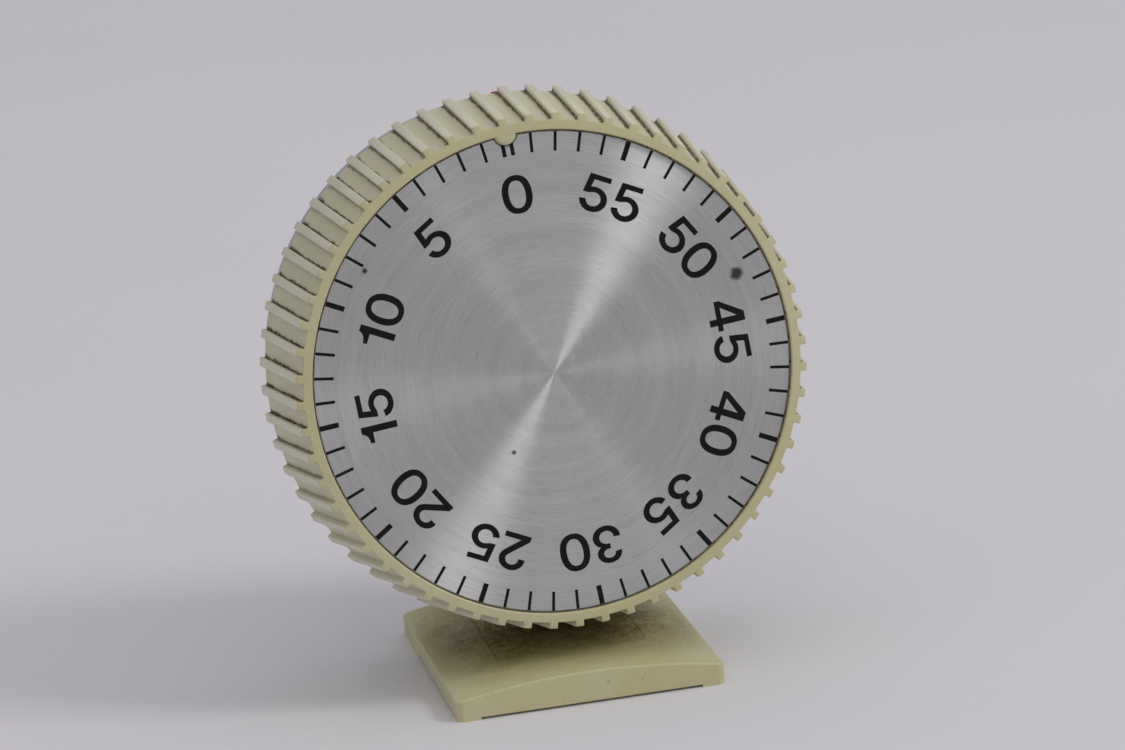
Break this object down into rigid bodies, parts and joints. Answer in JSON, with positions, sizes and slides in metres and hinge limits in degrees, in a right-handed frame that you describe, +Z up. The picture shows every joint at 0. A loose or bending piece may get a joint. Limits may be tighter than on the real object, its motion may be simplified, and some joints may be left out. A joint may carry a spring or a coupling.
{
  "type": "kitchen timer",
  "caption": "Clockwork kitchen timer: a ribbed drum with a flat minute dial that turns on a square arched foot, with going train, escapement, hammer and gong inside.",
  "frame": {"origin": "middle of the foot's underside, on the table", "axes": "+Z up, the dial faces -Y and leans back, +X to the user's right"},
  "size_m": [0.1004, 0.0556, 0.1071],
  "materials": {
    "cream_plastic": "satin moulded cream",
    "brushed_dial": "circular brushed",
    "case_metal": "satin pressed metal",
    "red_plastic": "satin",
    "brass": "rolled and stamped",
    "plain_steel": "turned",
    "spring_steel": "blued",
    "gong_steel": "nickel plated"
  },
  "bodies": {
    "stand": {"base_plate": "cream_plastic", "stand_neck": "cream_plastic", "foot_screws": "plain_steel", "neck_screws": "plain_steel", "rear_case": "case_metal", "index_mark": "red_plastic", "case_spacers": "plain_steel", "case_screws": "plain_steel", "front_plate": "brass", "back_plate": "brass", "front_bush": "brass", "back_bush": "brass", "pillars": "plain_steel", "pillar_screws": "plain_steel", "stop_pin": "plain_steel", "mainspring": "spring_steel", "spring_post": "plain_steel", "gong_post": "plain_steel", "gong": "gong_steel", "gong_screw": "plain_steel"},
    "drum": {"setting_ring": "cream_plastic", "dial_plate": "brushed_dial", "hub_bush": "brass", "hub_nut": "plain_steel", "main_arbor": "plain_steel", "great_wheel": "brass", "strike_cam": "plain_steel"},
    "second": {"second_arbor": "plain_steel", "second_wheel": "brass"},
    "third": {"third_arbor": "plain_steel", "third_wheel": "brass"},
    "escape": {"escape_arbor": "plain_steel", "escape_wheel": "brass"},
    "verge": {"verge_arbor": "plain_steel", "pallet_lever": "plain_steel", "balance_bar": "brass"},
    "striker": {"hammer_arbor": "plain_steel", "hammer": "plain_steel", "hammer_tail": "plain_steel"}
  },
  "joints": [
    {"name": "ring_turn", "type": "hinge", "parent": "stand", "child": "drum", "pos_m": [0, 0.0022, 0.05765], "axis": [0, 0.9952, -0.0976], "range_deg": [0, 354]},
    {"name": "second_turn", "type": "hinge", "parent": "stand", "child": "second", "pos_m": [-0.01819, 0.00323, 0.0681], "axis": [0, 0.9952, -0.0976], "continuous": true},
    {"name": "third_turn", "type": "hinge", "parent": "stand", "child": "third", "pos_m": [-0.02783, 0.00211, 0.05666], "axis": [0, 0.9952, -0.0976], "continuous": true},
    {"name": "escape_turn", "type": "hinge", "parent": "stand", "child": "escape", "pos_m": [-0.02783, 0.00101, 0.04552], "axis": [0, 0.9952, -0.0976], "continuous": true},
    {"name": "verge_rock", "type": "hinge", "parent": "stand", "child": "verge", "pos_m": [-0.02233, 0.00009, 0.03604], "axis": [0, 0.9952, -0.0976], "range_deg": [-8, 8]},
    {"name": "hammer_swing", "type": "hinge", "parent": "stand", "child": "striker", "pos_m": [0.02255, 0.00301, 0.06582], "axis": [0, 0.9952, -0.0976], "range_deg": [0, 8]}
  ],
  "couplings": [
    {"joint": "second_turn", "follows": "ring_turn", "ratio": -6},
    {"joint": "third_turn", "follows": "ring_turn", "ratio": 30},
    {"joint": "escape_turn", "follows": "ring_turn", "ratio": -180}
  ]
}
